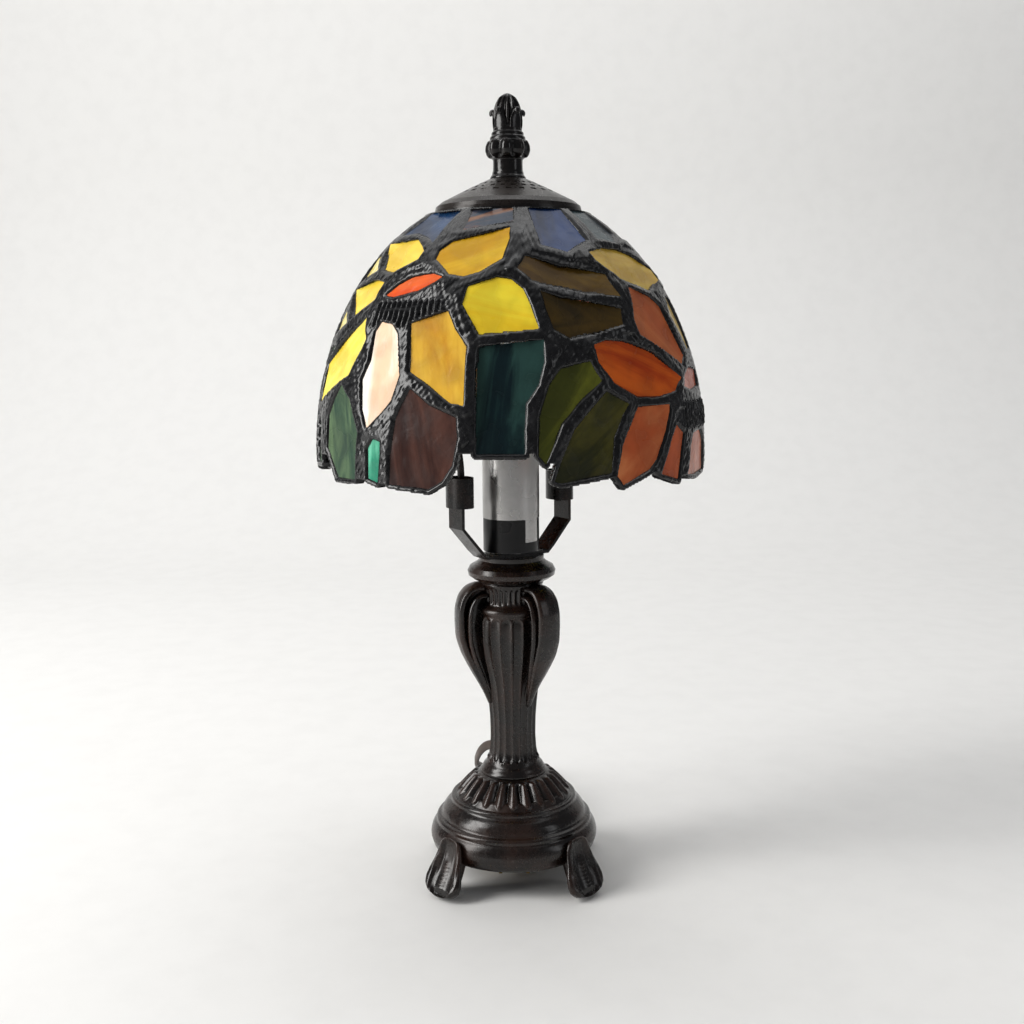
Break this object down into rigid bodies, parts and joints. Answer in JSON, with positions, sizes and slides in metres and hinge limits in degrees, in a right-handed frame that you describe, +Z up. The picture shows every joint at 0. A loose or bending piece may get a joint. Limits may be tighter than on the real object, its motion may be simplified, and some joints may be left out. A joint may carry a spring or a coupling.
{
  "type": "leaded glass table lamp",
  "caption": "Small table lamp with a domed leaded-glass shade of flowers and leaves on a cast bronze-finish column with four leaf feet.",
  "frame": {"origin": "on the table under the middle of the lamp, at the level of the soles of the feet", "axes": "+Z up along the column, the front that faces the viewer towards -Y, +X to the viewer's right"},
  "size_m": [0.1718, 0.2105, 0.355],
  "materials": {
    "bronze": "oil-rubbed bronze paint, satin, worn warm on the edges",
    "steel": "zinc plated",
    "harp_black": "dark bronze paint, satin",
    "gunmetal": "glossy black",
    "graphite": "satin graphite",
    "brass": "plain",
    "ceramic_white": "matt porcelain",
    "black_plastic": "moulded, satin",
    "foil": "plain silver foil without any printing",
    "clear_glass": "clear",
    "filament": "wire and glass stem",
    "cord_brown": "flat twin cord, satin",
    "solder": "black patina over solder",
    "glass_blue_crown": "streaky opalescent art glass",
    "glass_grey_crown": "streaky opalescent art glass",
    "glass_yellow_petals": "streaky opalescent art glass",
    "glass_gold_petals": "streaky opalescent art glass",
    "glass_cream_petals": "streaky opalescent art glass",
    "glass_flower_eyes": "streaky opalescent art glass",
    "glass_flame_petal": "streaky opalescent art glass",
    "glass_orange_petals": "streaky opalescent art glass",
    "glass_salmon_petals": "streaky opalescent art glass",
    "glass_brown_leaves": "streaky opalescent art glass",
    "glass_olive_leaves": "streaky opalescent art glass",
    "glass_sage_border": "streaky opalescent art glass",
    "glass_emerald": "streaky opalescent art glass",
    "glass_maroon": "streaky opalescent art glass",
    "glass_forest": "streaky opalescent art glass"
  },
  "bodies": {
    "lamp": {"foot_casting": "bronze", "column_casting": "bronze", "neck_disc": "bronze", "threaded_pipe": "steel", "steel_washer": "steel", "lock_washer": "steel", "bottom_nut": "steel", "saddle_nut": "steel", "harp_saddle": "harp_black", "harp_loop": "harp_black", "harp_stud": "brass", "socket_mount": "brass", "socket_body": "ceramic_white", "screw_shell": "brass", "centre_contact": "brass", "socket_tube": "black_plastic", "socket_label": "foil", "terminal_screws": "steel", "inner_wires": "cord_brown", "cord_bushing": "black_plastic", "supply_cord": "cord_brown", "switch_cord": "cord_brown", "plug_cord": "cord_brown", "cord_hank": "cord_brown", "cord_tie": "black_plastic", "switch_lower": "black_plastic", "switch_upper": "black_plastic", "plug_body": "black_plastic", "plug_blades": "brass"},
    "shade": {"lead_came": "solder", "crown_ring": "solder", "vented_cap": "graphite", "glass_blue_crown": "glass_blue_crown", "glass_brown_leaves": "glass_brown_leaves", "glass_cream_petals": "glass_cream_petals", "glass_emerald": "glass_emerald", "glass_flame_petal": "glass_flame_petal", "glass_flower_eyes": "glass_flower_eyes", "glass_forest": "glass_forest", "glass_gold_petals": "glass_gold_petals", "glass_grey_crown": "glass_grey_crown", "glass_maroon": "glass_maroon", "glass_olive_leaves": "glass_olive_leaves", "glass_orange_petals": "glass_orange_petals", "glass_sage_border": "glass_sage_border", "glass_salmon_petals": "glass_salmon_petals", "glass_yellow_petals": "glass_yellow_petals"},
    "finial": {"finial": "gunmetal"},
    "ferrule_left": {"ferrule_left": "harp_black"},
    "ferrule_right": {"ferrule_right": "harp_black"},
    "bulb": {"bulb_base": "brass", "bulb_glass": "clear_glass", "bulb_filament": "filament"},
    "switch_wheel": {"switch_wheel": "black_plastic"}
  },
  "joints": [
    {"name": "shade_turn", "type": "hinge", "parent": "lamp", "child": "shade", "pos_m": [0, 0, 0.3178], "axis": [0, 0, 1], "continuous": true},
    {"name": "finial_turn", "type": "hinge", "parent": "lamp", "child": "finial", "pos_m": [0, 0, 0.324], "axis": [0, 0, 1], "continuous": true},
    {"name": "bulb_turn", "type": "hinge", "parent": "lamp", "child": "bulb", "pos_m": [0, 0, 0.19], "axis": [0, 0, 1], "continuous": true},
    {"name": "ferrule_left_slide", "type": "slide", "parent": "lamp", "child": "ferrule_left", "axis": [0, 0, 1], "range_m": [0, 0.01]},
    {"name": "ferrule_right_slide", "type": "slide", "parent": "lamp", "child": "ferrule_right", "axis": [0, 0, 1], "range_m": [0, 0.01]},
    {"name": "switch_wheel_turn", "type": "hinge", "parent": "lamp", "child": "switch_wheel", "pos_m": [0.0049, 0.067, 0.0168], "axis": [0, 0, 1], "continuous": true}
  ]
}
